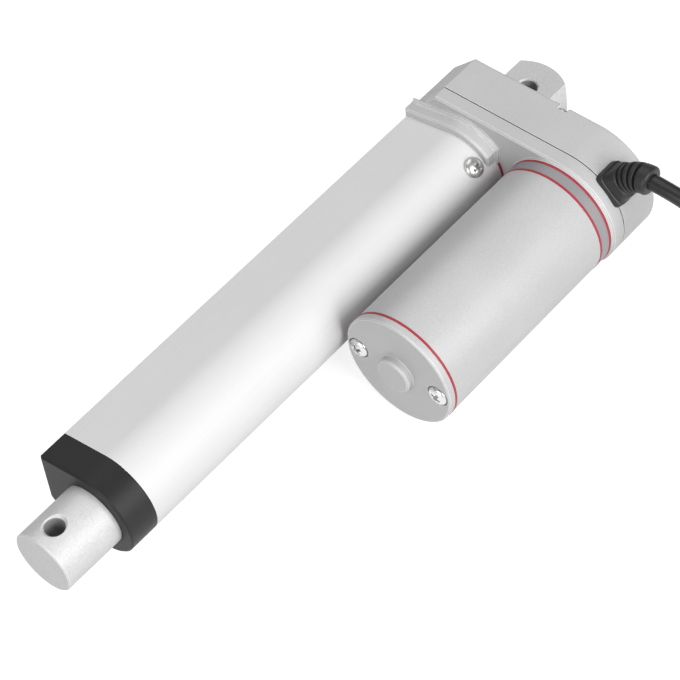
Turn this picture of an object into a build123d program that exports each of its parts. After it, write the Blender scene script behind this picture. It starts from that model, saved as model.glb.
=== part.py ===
from build123d import *
import os
from math import acos, atan2, cos, degrees, hypot, pi, radians, sin, sqrt, tan

# An electric linear actuator: a motor beside a round-sided tube turns a screw through spur
# gears, and the screw pushes a rod out of the tube. Millimetres, +X along the rod towards its
# eye, +Y from the screw towards the motor, +Z up, origin in the rear eye's hole.

# Reach
stroke = 100.0
closed_extra = 105.0  # eye to eye when closed is the stroke plus this
eye_hole = 6.0
eye_hole_chamfer = 0.5

# Clearances
running_gap = 0.06  # radial, round a turning shaft or the sliding rod
moving_gap = 0.4  # between faces that pass each other
fit_gap = 0.05  # between still pieces that slip together

# Rod and its front eye
rod_dia = 20.0
rod_bore = 13.0
front_eye_tip = 6.9  # from the eye's hole to its end
front_eye_body = 24.0
front_eye_spigot = 14.0
front_eye_edge = 0.4

# Outer tube, an extrusion with one round side and one flat side
tube_round_r = 14.05
tube_flat_y = 18.6
tube_corner_z = 11.0
tube_bevel = 4.0
tube_wall = 2.2

# Front cap
cap_length = 10.0
cap_to_hole = 13.5  # from the cap's face to the front eye's hole when closed
cap_spigot = 3.0
guide_length = 2.8
cap_edge = 0.5

# Gear housing: a front half and a rear cover
rear_face_x = 9.6
parting_x = 24.5
flange_front_x = 29.4
housing_half_z = 19.5
housing_flat_y = 19.5
housing_bevel = 8.2
housing_wall = 3.0
housing_side_wall = 1.8
housing_edge = 0.9
seal_thickness = 0.4
seal_inset = 0.25
collar_front_x = 34.1
collar_wall = 2.5
collar_open_angle = 44.0  # where the collar stops short of the motor, above +Y
neck_length = 14.0
neck_wall = 2.0
tube_seal = 0.9

# Motor
motor_y = 35.0
motor_dia = 37.6
motor_wall = 1.5
motor_boss_x = 30.1
motor_front_x = 104.2
motor_seal = 0.8
bell_depth = 3.4
end_cap_rim = 2.4
end_cap_bevel = 0.45
nose_dia = 11.6
nose_height = 2.5
motor_screw_pcd = 28.8
shaft_dia = 5.0
armature_dia = 24.0
armature_length = 26.0
armature_x = 58.0
tie_screw_end = 28.2
magnet_length = 34.0
magnet_gap = 0.6
magnet_angle = 100.0
commutator_dia = 9.0
commutator_length = 8.0
commutator_x = 40.0
brush_plate = 3.0
slots = 5

# Gear train
module_fast = 0.7
module_slow = 0.9
motor_teeth = 10
wheel_teeth = 36
pinion_teeth = 12
main_teeth = 30
gear_face = 4.6
pressure_angle = 20.0
tooth_backlash = 0.12
idler_pin_dia = 4.0

# Screw and nut
screw_dia = 10.0
screw_lead = 4.0
journal_dia = 8.0
tail_dia = 6.0
nut_length = 17.4
nut_dia = 22.6
nut_key_width = 7.0
nut_to_rod_overlap = 8.0
nut_from_neck = 7.4

# Screw bearing
bearing_od = 19.0
bearing_width = 6.0
bearing_x = 32.0
ball_count = 8
ball_dia = 3.0
race_r_in = 5.35
race_r_out = 8.15

# Rear eye
lug_dia = 21.0
lug_flats = 12.0
lug_end = 10.5
lug_end_r = 14.0
lug_flange_dia = 26.0
lug_flange = 2.4

# Switch strip inside the tube
strip_width = 11.0
strip_thick = 1.2
switch_size = (6.0, 4.6, 5.6)

# Cord
cord_dia = 5.0
cord_x = 20.0
cord_z = 20.8
cord_exit_y = 61.0
gland_angle = 43.0
gland_width = 10.5
gland_length = 9.0
gland_x = 21.2
coil_mid_r = 25.0
coil_ease = 0.02  # the coil's rim and top stand this little outside the cord

# Fasteners
screw_head_dia = 6.6
screw_head = 2.0
screw_shank = 3.0
screw_sink = 2.2  # how deep the cover's screw heads are let in
tube_screw_x = 38.2
tube_screw_angle = 45.0

hole_x = stroke + closed_extra
cap_front_x = hole_x - cap_to_hole
cap_rear_x = cap_front_x - cap_length
rod_r = rod_dia / 2
motor_r = motor_dia / 2
floor_z = -housing_half_z


def along_x(sketch, x0, x1):
    """A flat outline in Y and Z, drawn out from x0 to x1."""
    return extrude(Plane.YZ.offset(x0) * sketch, amount=x1 - x0)


def rod_x(x0, x1, radius, y=0.0, z=0.0):
    """A round bar along X."""
    return along_x(Pos(y, z) * Circle(radius), x0, x1)


def ring_x(x0, x1, outer, inner, y=0.0, z=0.0):
    """A round ring along X."""
    return along_x(Pos(y, z) * (Circle(outer) - Circle(inner)), x0, x1)


def polygon_face(points):
    """A face from its corner points."""
    return make_face(Polyline(*points, close=True))


# Outer tube


def tube_section(grow=0.0, bevel=None):
    """The tube's D shape: a circle about the rod and two lines that close in to a flat side."""
    radius = tube_round_r + grow
    flat = tube_flat_y + grow
    corner_z = tube_corner_z + grow * 0.8
    lean = atan2(corner_z, -flat)
    half = acos(radius / hypot(flat, corner_z))
    touch = lean - half
    tangent = (radius * cos(touch), radius * sin(touch))
    upper = Line((-flat, corner_z), tangent)
    mirrored = (tangent[0], -tangent[1])
    side = ThreePointArc(tangent, (radius, 0), mirrored)
    lower = Line(mirrored, (-flat, -corner_z))
    back = Line((-flat, -corner_z), (-flat, corner_z))
    face = make_face([upper, side, lower, back])
    cut = tube_bevel + grow * 0.6 if bevel is None else bevel
    if cut > 0:
        slope = corner_z + cut * 0.2
        corner = polygon_face(
            [
                (-flat - 1, -corner_z + cut),
                (-flat, -corner_z + cut),
                (-flat + cut, -slope),
                (-flat + cut, -slope - 4),
                (-flat - 1, -slope - 4),
            ]
        )
        face = face - corner
    return face


def make_outer_tube():
    """The satin extruded tube, with holes for the screws that fix it to the housing's neck."""
    x0 = flange_front_x + tube_seal
    tube = along_x(tube_section() - tube_section(-tube_wall), x0, cap_rear_x)
    for hole in tube_screw_places(screw_shank / 2 + fit_gap):
        tube -= hole
    return tube


def tube_screw_places(radius, depth=6.0):
    """Round bars where the tube's radial screws pass."""
    bars = []
    for sign in (1, -1):
        turn = Rot(X=sign * tube_screw_angle)
        bar = Plane.XZ.offset(-tube_round_r - 1) * Pos(tube_screw_x, 0) * Circle(radius)
        bars.append(turn * extrude(bar, amount=depth + 1))
    return bars


def make_tube_screws():
    """Two pan-head screws through the tube's round side into the neck."""
    screws = []
    shank_in = tube_round_r - tube_wall - neck_wall + 0.2
    for sign in (1, -1):
        shank = Plane.XZ.offset(-tube_round_r - 0.4) * Pos(tube_screw_x, 0) * Circle(screw_shank / 2)
        body = extrude(shank, amount=tube_round_r + 0.4 - shank_in)
        head = pan_head(screw_head_dia / 2, screw_head)
        head = Pos(tube_screw_x, tube_round_r + 0.15, 0) * (Rot(X=-90) * head)
        screws.append(Rot(X=sign * tube_screw_angle) * (body + head))
    return Compound(screws)


def pan_head(radius, height):
    """A domed screw head standing on its flat underside, axis +Z."""
    rise = height * 0.6
    dome_r = (radius**2 + rise**2) / (2 * rise)
    blank = Pos(0, 0, height / 2) * Cylinder(radius, height)
    return blank & (Pos(0, 0, height - dome_r) * Sphere(dome_r))


# Gear housing


def housing_section(shrink=0.0):
    """The housing's outline: round about the motor, bevelled at the corners by the tube."""
    half = housing_half_z - shrink
    flat = housing_flat_y - shrink
    bevel = housing_bevel - shrink * (2 - sqrt(2))
    corners = [
        (motor_y, -half),
        (-flat + bevel, -half),
        (-flat, -half + bevel),
        (-flat, half - bevel),
        (-flat + bevel, half),
        (motor_y, half),
    ]
    return polygon_face(corners) + Pos(motor_y, 0) * Circle(half)


def housing_screw_places():
    """Y and Z of the screws that hold the rear cover to the front half."""
    far = motor_r - 2.0
    near = housing_flat_y - 6.3
    return [
        (-near, near - 0.5),
        (-near, 0.5 - near),
        (22.5, housing_half_z - 3.1),
        (22.5, 3.1 - housing_half_z),
        (motor_y + far * cos(radians(-40)), far * sin(radians(-40))),
    ]


def screw_bosses(x0, x1):
    """Round posts inside the housing round its screws."""
    posts = [rod_x(x0, x1, screw_shank / 2 + 1.3, y, z) for y, z in housing_screw_places()]
    inside = along_x(housing_section(housing_side_wall / 2), x0, x1)
    return [post & inside for post in posts]


def gland_direction():
    """Unit Y and Z of the way the cord's boot leaves the round end."""
    return cos(radians(gland_angle)), sin(radians(gland_angle))


def gland_slot():
    """The opening in both halves that the boot's neck sits in."""
    neck = Box(gland_neck, gland_neck, 8)
    out_y, out_z = gland_direction()
    reach = housing_half_z - 1.5
    place = Location((gland_x, motor_y + out_y * reach, out_z * reach), (gland_angle - 90, 0, 0))
    return place * neck


gland_neck = 6.0


def make_rear_cover():
    """The die-cast rear half, a deep cup with posts for its screws and a bore for the rear eye."""
    x1 = parting_x - seal_thickness / 2
    cover = along_x(housing_section(), rear_face_x, x1)
    cover = fillet(cover.faces().sort_by(Axis.X)[0].edges(), housing_edge)
    floor_x = rear_face_x + housing_wall
    cover -= along_x(housing_section(housing_side_wall), floor_x, x1)
    for post in screw_bosses(floor_x, x1):
        cover += post
    cover += rod_x(floor_x, floor_x + lug_flange, idler_pin_dia / 2 + 2.2, idler_y)
    cover -= rod_x(rear_face_x - 1, floor_x, lug_dia / 2 + fit_gap)
    cover -= rod_x(floor_x - 1.0, x1, idler_pin_dia / 2 + fit_gap / 2, idler_y)
    for y, z in housing_screw_places():
        cover -= rod_x(rear_face_x - 1, x1, screw_shank / 2 + fit_gap, y, z)
        cover -= rod_x(rear_face_x - 1, rear_face_x + screw_sink, screw_head_dia / 2 + 0.1, y, z)
    cover -= gland_slot()
    return cover


def collar_shape(grow, x0, x1):
    """The housing's nose round the tube, open towards the motor."""
    ring = along_x(tube_section(grow), x0, x1)
    reach = 3 * tube_round_r
    y_cut = (tube_round_r + grow) * cos(radians(collar_open_angle))
    gap = polygon_face([(y_cut, -reach), (reach, -reach), (reach, reach), (y_cut, reach)])
    beyond = -housing_flat_y
    side = polygon_face([(beyond, -reach), (-reach, -reach), (-reach, reach), (beyond, reach)])
    return ring - along_x(gap + side, x0, x1)


def make_front_housing():
    """The die-cast front half: flange, collar and neck for the tube, and the motor's seat."""
    x0 = parting_x + seal_thickness / 2
    wall_x = flange_front_x - housing_wall
    body = along_x(housing_section(), x0, flange_front_x)
    body = chamfer(body.faces().sort_by(Axis.X)[-1].edges(), housing_edge * 0.6)
    body -= along_x(housing_section(housing_side_wall), x0, wall_x)
    for post in screw_bosses(x0, wall_x):
        body += post
    step_x = (flange_front_x + collar_front_x) / 2 - 1.1
    step = collar_shape(collar_wall + 0.9, flange_front_x, step_x)
    nose = collar_shape(collar_wall, flange_front_x, collar_front_x)
    nose = chamfer(nose.faces().sort_by(Axis.X)[-1].edges(), 0.5)
    body += chamfer(step.faces().sort_by(Axis.X)[-1].edges(), 0.6)
    body += nose
    body += rod_x(flange_front_x, motor_boss_x, motor_r + 0.3, motor_y)
    body -= along_x(tube_section(fit_gap), flange_front_x, collar_front_x + 1)
    neck_r = neck_radius()
    body += rod_x(flange_front_x, flange_front_x + neck_length, neck_r)
    body -= rod_x(bearing_x - bearing_width / 2, collar_front_x + neck_length, bearing_od / 2 + fit_gap / 2)
    body -= rod_x(wall_x - 1, bearing_x, journal_dia / 2 + 1.5)
    body -= rod_x(wall_x - 1, motor_boss_x + 1, shaft_dia / 2 + 2.5, motor_y)
    body -= rod_x(wall_x - 1, wall_x + 1.2, idler_pin_dia / 2 + fit_gap / 2, idler_y)
    for y, z in housing_screw_places():
        body -= rod_x(x0, flange_front_x - 1.0, screw_shank / 2 + fit_gap, y, z)
    for side in (-1, 1):
        place = motor_y + side * motor_screw_pcd / 2
        body -= rod_x(tie_screw_end - 0.2, motor_boss_x + 1, screw_shank / 2 + fit_gap, place)
    for hole in tube_screw_places(screw_shank / 2 + fit_gap):
        body -= hole
    body -= lead_slot()
    body -= gland_slot()
    return body


def lead_slot():
    """The slot in the front wall that the switch leads pass, behind the tube's flat side."""
    y0 = -(tube_flat_y - tube_wall)
    return Pos(flange_front_x - housing_wall / 2, y0 + 2.2, 0) * Box(housing_wall * 2, 3.4, 9.0)


def neck_radius():
    """The neck's outside radius, a slip fit in the tube's round bore."""
    return tube_round_r - tube_wall - fit_gap


def make_housing_seal():
    """The thin black gasket that shows as a line between the two halves."""
    seal = housing_section(seal_inset) - housing_section(housing_side_wall + seal_inset)
    ring = along_x(seal, parting_x - seal_thickness / 2, parting_x + seal_thickness / 2)
    for y, z in housing_screw_places():
        ring -= rod_x(parting_x - 1, parting_x + 1, screw_shank / 2 + fit_gap, y, z)
    return ring - gland_slot()


def make_tube_seal():
    """The red gasket between the tube's end and the housing."""
    section = tube_section() - Circle(neck_radius() + fit_gap)
    slot = Pos(-(tube_flat_y - tube_wall) + 2.2, 0) * Rectangle(3.4, 9.0)
    return along_x(section - slot, flange_front_x, flange_front_x + tube_seal)


def make_housing_screws():
    """Pan-head screws sunk in the rear face, through the cover into the front half."""
    screws = []
    for y, z in housing_screw_places():
        shank = rod_x(rear_face_x + screw_sink, flange_front_x - 1.4, screw_shank / 2, y, z)
        head = Pos(rear_face_x + screw_sink, y, z) * (Rot(Y=-90) * pan_head(screw_head_dia / 2, screw_head))
        screws.append(shank + head)
    return Compound(screws)


# Gears


def involute_gear(teeth, module, x0, x1, y, bore, turn=0.0):
    """A spur gear along X whose flanks follow an involute, thinned a little for backlash."""
    pitch = module * teeth / 2
    base = pitch * cos(radians(pressure_angle))
    tip = pitch + module
    root = pitch - 1.25 * module
    start = max(base, root)
    slack = tooth_backlash / (2 * pitch)
    half_pitch = pi / (2 * teeth) - slack

    def polar_angle(radius):
        """How far the involute has turned at this radius."""
        roll = acos(min(base / radius, 1.0))
        return tan(roll) - roll

    flank = []
    steps = 3
    for i in range(steps + 1):
        radius = start + (tip - start) * i / steps
        flank.append((radius, half_pitch + polar_angle(pitch) - polar_angle(radius)))
    outline = []
    for tooth in range(teeth):
        middle = 2 * pi * tooth / teeth + radians(turn)
        outline.append((root, middle - flank[0][1] - 0.02 * pi / teeth))
        outline += [(r, middle - a) for r, a in flank]
        outline += [(r, middle + a) for r, a in reversed(flank)]
        outline.append((root, middle + flank[0][1] + 0.02 * pi / teeth))
    points = [(r * cos(a), r * sin(a)) for r, a in outline]
    blank = polygon_face(points) - Circle(bore / 2)
    return along_x(Pos(y, 0) * blank, x0, x1)


fast_distance = module_fast * (motor_teeth + wheel_teeth) / 2
idler_y = motor_y - fast_distance
slow_distance = module_slow * (pinion_teeth + main_teeth) / 2
slow_x0 = rear_face_x + housing_wall + lug_flange + moving_gap
slow_x1 = slow_x0 + gear_face
fast_x0 = slow_x1 + moving_gap
fast_x1 = fast_x0 + gear_face


def make_main_gear():
    """The moulded gear on the screw, with a hub and four round holes in its web."""
    gear = involute_gear(main_teeth, module_slow, slow_x0, slow_x1, 0.0, journal_dia)
    web = main_teeth * module_slow / 2 - 3.2
    for x0, x1 in ((slow_x0, slow_x0 + 1.2), (slow_x1 - 1.2, slow_x1)):
        gear -= ring_x(x0, x1, web, journal_dia / 2 + 2.2)
    for i in range(6):
        spot = radians(60 * i + 30)
        middle = (web + journal_dia / 2 + 2.2) / 2
        gear -= rod_x(slow_x0, slow_x1, 1.5, middle * cos(spot), middle * sin(spot))
    return gear


def make_idler_wheel():
    """The large moulded wheel of the middle gear, in mesh with the motor's pinion."""
    turn = 180.0 / wheel_teeth
    gear = involute_gear(wheel_teeth, module_fast, fast_x0, fast_x1, idler_y, idler_bore() + 4.0, turn)
    web = wheel_teeth * module_fast / 2 - 2.6
    for x0, x1 in ((fast_x0, fast_x0 + 1.1), (fast_x1 - 1.1, fast_x1)):
        gear -= ring_x(x0, x1, web, idler_bore() / 2 + 4.2, idler_y)
    return gear


def idler_bore():
    """The middle gear's bore, a running fit on its pin."""
    return idler_pin_dia + 2 * running_gap


def make_idler_pinion():
    """The small steel gear of the middle pair, with a sleeve that the wheel is pressed on."""
    turn = 180.0 + 180.0 / pinion_teeth
    gear = involute_gear(pinion_teeth, module_slow, slow_x0, slow_x1, idler_y, idler_bore(), turn)
    gear += ring_x(slow_x1, fast_x0, idler_bore() / 2 + 3.4, idler_bore() / 2, idler_y)
    gear += ring_x(fast_x0, fast_x1, idler_bore() / 2 + 2.0, idler_bore() / 2, idler_y)
    return gear


def make_motor_pinion():
    """The brass pinion on the motor's shaft."""
    return involute_gear(motor_teeth, module_fast, fast_x0, fast_x1, motor_y, shaft_dia, mesh_turn())


def mesh_turn():
    """The pinion's turn at which a tooth space faces the wheel's tooth."""
    wheel_tooth_at_pinion = 180.0 / wheel_teeth
    pitch_offset = (wheel_tooth_at_pinion % (360.0 / wheel_teeth)) * wheel_teeth / motor_teeth
    return 180.0 + 180.0 / motor_teeth + pitch_offset


def make_idler_pin():
    """The steel pin that the middle gear turns on, held in both halves of the housing."""
    x0 = rear_face_x + housing_wall - 0.9
    x1 = flange_front_x - housing_wall + 1.1
    return rod_x(x0, x1, idler_pin_dia / 2, idler_y)


# Screw, nut and rod

rod_front_x = hole_x + front_eye_tip - front_eye_body
nut_x0 = flange_front_x + neck_length + nut_from_neck
nut_x1 = nut_x0 + nut_length


def make_lead_screw():
    """The steel screw: tail in the rear eye's bush, journal in the gear and bearing."""
    tail_x0 = rear_face_x + housing_wall - 4.0
    thread_x0 = bearing_x + bearing_width / 2
    end_x = cap_rear_x - cap_spigot - 12.0
    screw = rod_x(tail_x0, slow_x0, tail_dia / 2)
    screw += rod_x(slow_x0, thread_x0, journal_dia / 2)
    screw += rod_x(thread_x0, end_x, screw_dia / 2)
    return chamfer(screw.faces().sort_by(Axis.X)[-1].edges(), 0.8)


def make_screw_spacer():
    """The sleeve between the gear's hub and the bearing."""
    return ring_x(slow_x1, bearing_x - bearing_width / 2, journal_dia / 2 + 1.1, journal_dia / 2)


def make_drive_nut():
    """The moulded nut that the screw pushes along, keyed so that it can't turn."""
    nut = rod_x(nut_x0, nut_x1, nut_dia / 2)
    key_y = -(tube_flat_y - tube_wall - strip_thick - 2 * moving_gap)
    key = Pos((nut_x0 + nut_x1) / 2, key_y / 2, 0) * Box(nut_length, -key_y, nut_key_width)
    nut += key
    nut -= rod_x(nut_x0, nut_x1, screw_dia / 2 + running_gap)
    seat = ring_x(nut_x1 - nut_to_rod_overlap, nut_x1, nut_dia, rod_bore / 2 - fit_gap)
    return nut - seat


def make_rod_tube():
    """The rod: a ground tube fixed on the nut, open at the front for the eye's spigot."""
    return ring_x(nut_x1 - nut_to_rod_overlap, rod_front_x, rod_r, rod_bore / 2)


def make_front_eye():
    """The solid aluminium rod end with its cross hole."""
    tip_x = hole_x + front_eye_tip
    eye = rod_x(rod_front_x, tip_x, rod_r)
    eye = chamfer(eye.faces().sort_by(Axis.X)[-1].edges(), front_eye_edge)
    eye += rod_x(rod_front_x - front_eye_spigot, rod_front_x, rod_bore / 2 - fit_gap / 2)
    eye -= cross_hole(hole_x, sqrt(rod_r**2 - (eye_hole / 2) ** 2))
    return eye


def cross_hole(x, rim):
    """A hole along Z with a small countersink at each end, whose rims are at this height."""
    hole = Pos(x, 0, 0) * Cylinder(eye_hole / 2, 2 * rim + 4)
    sink = Cone(eye_hole / 2, eye_hole / 2 + eye_hole_chamfer + 1.0, eye_hole_chamfer + 1.0)
    top = Pos(x, 0, rim + 0.5 - eye_hole_chamfer / 2) * sink
    bottom = Pos(x, 0, -(rim + 0.5 - eye_hole_chamfer / 2)) * (Rot(X=180) * sink)
    return hole + top + bottom


# Front cap, bush and wiper


def make_front_cap():
    """The black moulded cap, with a spigot in the tube and a groove for the wiper."""
    cap = along_x(tube_section(), cap_rear_x, cap_front_x)
    cap = chamfer(cap.faces().sort_by(Axis.X)[-1].edges(), cap_edge)
    cap += along_x(tube_section(-tube_wall - fit_gap), cap_rear_x - cap_spigot, cap_rear_x)
    cap -= rod_x(cap_rear_x - cap_spigot, cap_front_x, rod_r + running_gap)
    return cap - ring_x(cap_front_x - wiper_back, cap_front_x - wiper_lip, wiper_r, rod_r)


wiper_back = 4.6
wiper_lip = 1.4
wiper_r = rod_dia / 2 + 2.0


def make_rod_wiper():
    """The rubber ring in the cap that wipes the rod."""
    return ring_x(cap_front_x - wiper_back, cap_front_x - wiper_lip, wiper_r, rod_r + running_gap / 2)


def make_guide_bush():
    """The plastic bush that steadies the rod behind the cap."""
    x1 = cap_rear_x - cap_spigot
    section = tube_section(-tube_wall - fit_gap) - Circle(rod_r + running_gap)
    return along_x(section, x1 - guide_length, x1)


# Screw bearing


def make_bearing_ring(outer, groove_r, bore):
    """One ring of the ball bearing with its ball groove."""
    x0 = bearing_x - bearing_width / 2
    ring = ring_x(x0, x0 + bearing_width, outer, bore)
    mid = (race_r_in + race_r_out) / 2
    groove = Solid.make_torus(mid, ball_dia / 2 + 0.05, Plane(origin=(bearing_x, 0, 0), z_dir=(1, 0, 0)))
    return ring - groove


def make_bearing_balls():
    """The bearing's steel balls."""
    mid = (race_r_in + race_r_out) / 2
    balls = []
    for i in range(ball_count):
        spot = 2 * pi * i / ball_count
        balls.append(Pos(bearing_x, mid * cos(spot), mid * sin(spot)) * Sphere(ball_dia / 2))
    return Compound(balls)


def make_bearing_cage():
    """The cage that keeps the balls apart."""
    mid = (race_r_in + race_r_out) / 2
    cage = ring_x(bearing_x - 2.1, bearing_x + 2.1, mid + 0.55, mid - 0.55)
    for ball in make_bearing_balls().solids():
        spot = ball.center()
        cage -= Pos(spot.X, spot.Y, spot.Z) * Sphere(ball_dia / 2 + 0.08)
    return cage


def make_bearing_clip():
    """The spring ring that keeps the bearing in the neck."""
    x0 = bearing_x + bearing_width / 2
    clip = ring_x(x0, x0 + 1.0, bearing_od / 2, bearing_od / 2 - 1.4)
    return clip - Pos(x0, 0, -bearing_od / 2) * Box(4, 3.0, 4)


# Rear eye


def make_rear_eye():
    """The rear eye, a turned lug with a flange trapped in the cover."""
    floor_x = rear_face_x + housing_wall
    half = lug_dia / 2
    eye = rod_x(-lug_end, floor_x, half)
    long = 2 * lug_end_r
    rounding = Pos(lug_end_r - lug_end, 0, 0) * Cylinder(lug_end_r, long)
    eye = eye & (rounding + Pos(lug_end_r, 0, 0) * Box(long, long, long))
    flats = Pos((rear_face_x - lug_shoulder) / 2 - lug_end, 0, 0) * Box(lug_end * 2 + rear_face_x - lug_shoulder, long, lug_flats)
    eye = eye & (flats + rod_x(rear_face_x - lug_shoulder, floor_x, half))
    eye += rod_x(floor_x, floor_x + lug_flange, lug_flange_dia / 2)
    eye -= cross_hole(0.0, lug_flats / 2)
    pocket_r = tail_dia / 2 + bush_wall + fit_gap / 2
    return eye - rod_x(floor_x - 5.0, floor_x + lug_flange + 1, pocket_r)


bush_wall = 1.5
lug_shoulder = 1.0


def make_rear_bush():
    """The bronze bush in the rear eye that carries the screw's tail."""
    floor_x = rear_face_x + housing_wall
    inner = tail_dia / 2 + running_gap
    return ring_x(floor_x - 4.6, floor_x + lug_flange, tail_dia / 2 + bush_wall, inner)


# Motor

bell_x0 = motor_boss_x + motor_seal
bell_x1 = bell_x0 + bell_depth
can_x0 = bell_x1 + motor_seal
cap_back_x = motor_front_x - end_cap_rim
can_x1 = cap_back_x - motor_seal
can_bore = motor_r - motor_wall


def tie_holes(x0, x1, radius):
    """Bars where the motor's two long screws run."""
    places = [motor_y - motor_screw_pcd / 2, motor_y + motor_screw_pcd / 2]
    return [rod_x(x0, x1, radius, y) for y in places]


def make_motor_can():
    """The painted steel can."""
    return ring_x(can_x0, can_x1, motor_r, can_bore, motor_y)


def make_motor_seal(x0):
    """A flat red gasket ring that stands a little proud of the can."""
    return ring_x(x0, x0 + motor_seal, motor_r + 0.1, motor_r - 2.6, motor_y)


def make_motor_end_cap():
    """The die-cast front end cap with its round nose and sunk screw seats."""
    cap = rod_x(cap_back_x, motor_front_x, motor_r, motor_y)
    cap = chamfer(cap.faces().sort_by(Axis.X)[-1].edges(), end_cap_bevel)
    nose = rod_x(motor_front_x, motor_front_x + nose_height, nose_dia / 2, motor_y)
    cap += chamfer(nose.faces().sort_by(Axis.X)[-1].edges(), 0.5)
    cap += ring_x(can_x1 - 3.0, cap_back_x, motor_r - 2.7, motor_r - 6.9, motor_y)
    cap -= rod_x(can_x1 - 4.0, motor_front_x + nose_height - 1.2, bush_r(), motor_y)
    for hole in tie_holes(can_x1 - 4, motor_front_x + 1, screw_shank / 2 + fit_gap):
        cap -= hole
    for seat in tie_holes(motor_front_x - screw_seat, motor_front_x + 1, screw_head_dia / 2 + 0.3):
        cap -= seat
    return cap


screw_seat = 0.9


def bush_r():
    """The outside radius of the motor's shaft bushes."""
    return shaft_dia / 2 + 1.6


def make_motor_bush(x0, x1):
    """A sintered bush that the motor's shaft runs in."""
    return ring_x(x0, x1, bush_r() - fit_gap / 2, shaft_dia / 2 + running_gap, motor_y)


def make_motor_bell():
    """The rear end plate of the motor, between its two red gaskets."""
    bell = rod_x(bell_x0, bell_x1, motor_r, motor_y)
    bell += rod_x(bell_x1, bell_x1 + 3.0, motor_r - 2.7, motor_y)
    bell -= rod_x(bell_x0 - 1, bell_x1 + 4, bush_r(), motor_y)
    for hole in tie_holes(bell_x0 - 1, bell_x1 + 4, screw_shank / 2 + fit_gap):
        bell -= hole
    return bell


def make_motor_tie_screws():
    """The two long screws with domed heads that hold the motor to the housing."""
    screws = []
    head_x = motor_front_x - screw_seat
    for side in (-1, 1):
        y = motor_y + side * motor_screw_pcd / 2
        shank = rod_x(tie_screw_end, head_x, screw_shank / 2, y)
        head = Pos(head_x, y, 0) * (Rot(Y=90) * pan_head(screw_head_dia / 2, screw_head))
        screws.append(shank + head)
    return Compound(screws)


def make_motor_magnets():
    """Two arc magnets, above and below the armature."""
    inner = armature_dia / 2 + magnet_gap
    outer = can_bore - fit_gap
    ring = Circle(outer) - Circle(inner)
    reach = 2 * motor_r
    half = radians(magnet_angle / 2)
    wedge = polygon_face([(0, 0), (reach * sin(half), reach * cos(half)), (-reach * sin(half), reach * cos(half))])
    x0 = armature_x + (armature_length - magnet_length) / 2
    magnets = []
    for turn in (0, 180):
        arc = Pos(motor_y, 0) * (Rot(Z=turn) * (ring & wedge))
        magnets.append(along_x(arc, x0, x0 + magnet_length))
    return Compound(magnets)


def make_armature_core():
    """The slotted iron core of the armature."""
    core = Circle(armature_dia / 2) - Circle(shaft_dia / 2)
    for i in range(slots):
        spot = 2 * pi * i / slots
        middle = armature_dia / 2 * 0.62
        core -= Pos(middle * cos(spot), middle * sin(spot)) * Circle(armature_dia * 0.14)
        mouth = Rot(Z=degrees(spot)) * (Pos(armature_dia / 2 * 0.9, 0) * Rectangle(armature_dia * 0.3, 1.6))
        core -= mouth
    return along_x(Pos(motor_y, 0) * core, armature_x, armature_x + armature_length)


def make_armature_windings():
    """The enamelled copper coils, one bundle in each slot."""
    middle = armature_dia / 2 * 0.62
    over = 2.5
    bars = []
    for i in range(slots):
        spot = 2 * pi * i / slots
        y = motor_y + middle * cos(spot)
        z = middle * sin(spot)
        bars.append(rod_x(armature_x - over, armature_x + armature_length + over, armature_dia * 0.135, y, z))
    return Compound(bars)


def make_motor_shaft():
    """The motor's steel shaft, from the pinion to the bush in the nose."""
    return rod_x(fast_x0 - 0.2, motor_front_x + nose_height - 1.8, shaft_dia / 2, motor_y)


def make_commutator():
    """The copper commutator, with a slot between its bars."""
    body = Circle(commutator_dia / 2) - Circle(shaft_dia / 2)
    for i in range(slots):
        turn = 360 * (i + 0.5) / slots
        body -= Rot(Z=turn) * (Pos(commutator_dia / 2, 0) * Rectangle(1.4, 0.5))
    return along_x(Pos(motor_y, 0) * body, commutator_x, commutator_x + commutator_length)


def make_brush_holder():
    """The plastic plate on the rear end plate that guides the brushes."""
    x0 = bell_x1 + 3.0
    inner = commutator_dia / 2 + 2.0
    holder = ring_x(x0, x0 + brush_plate, can_bore - fit_gap, inner, motor_y)
    for hole in tie_holes(x0 - 1, x0 + brush_plate + 1, screw_shank / 2 + 0.4):
        holder -= hole
    box_x1 = commutator_x + commutator_length - 1.0
    for side in (-1, 1):
        middle = side * (inner + 3.0)
        size = Box(box_x1 - x0, brush_width + 2.4, 6.0)
        holder += Pos((x0 + box_x1) / 2, motor_y, middle) * size
    tunnel = Box(brush_long, brush_width + 2 * fit_gap, 40)
    holder -= Pos(commutator_x + commutator_length / 2, motor_y, 0) * tunnel
    return holder


brush_width = 4.0
brush_long = 5.0


def make_carbon_brushes():
    """The two carbon brushes that press on the commutator."""
    brushes = []
    inner = commutator_dia / 2 + running_gap
    block = Box(brush_long - 2 * fit_gap, brush_width, 7.0)
    for side in (-1, 1):
        middle = side * (inner + 3.5)
        brush = Pos(commutator_x + commutator_length / 2, motor_y, middle) * block
        brushes.append(brush - rod_x(commutator_x - 1, commutator_x + commutator_length + 1, inner, motor_y))
    return Compound(brushes)


# End switches


def strip_y0():
    """The tube's inner flat side, which the switch strip lies on."""
    return -(tube_flat_y - tube_wall) + fit_gap


def make_switch_strip():
    """The circuit strip that lies along the tube's flat side."""
    x0 = flange_front_x + tube_seal + 0.6
    x1 = cap_rear_x - cap_spigot - guide_length - 0.2
    y = strip_y0() + strip_thick / 2
    return Pos((x0 + x1) / 2, y, 0) * Box(x1 - x0, strip_thick, strip_width)


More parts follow.
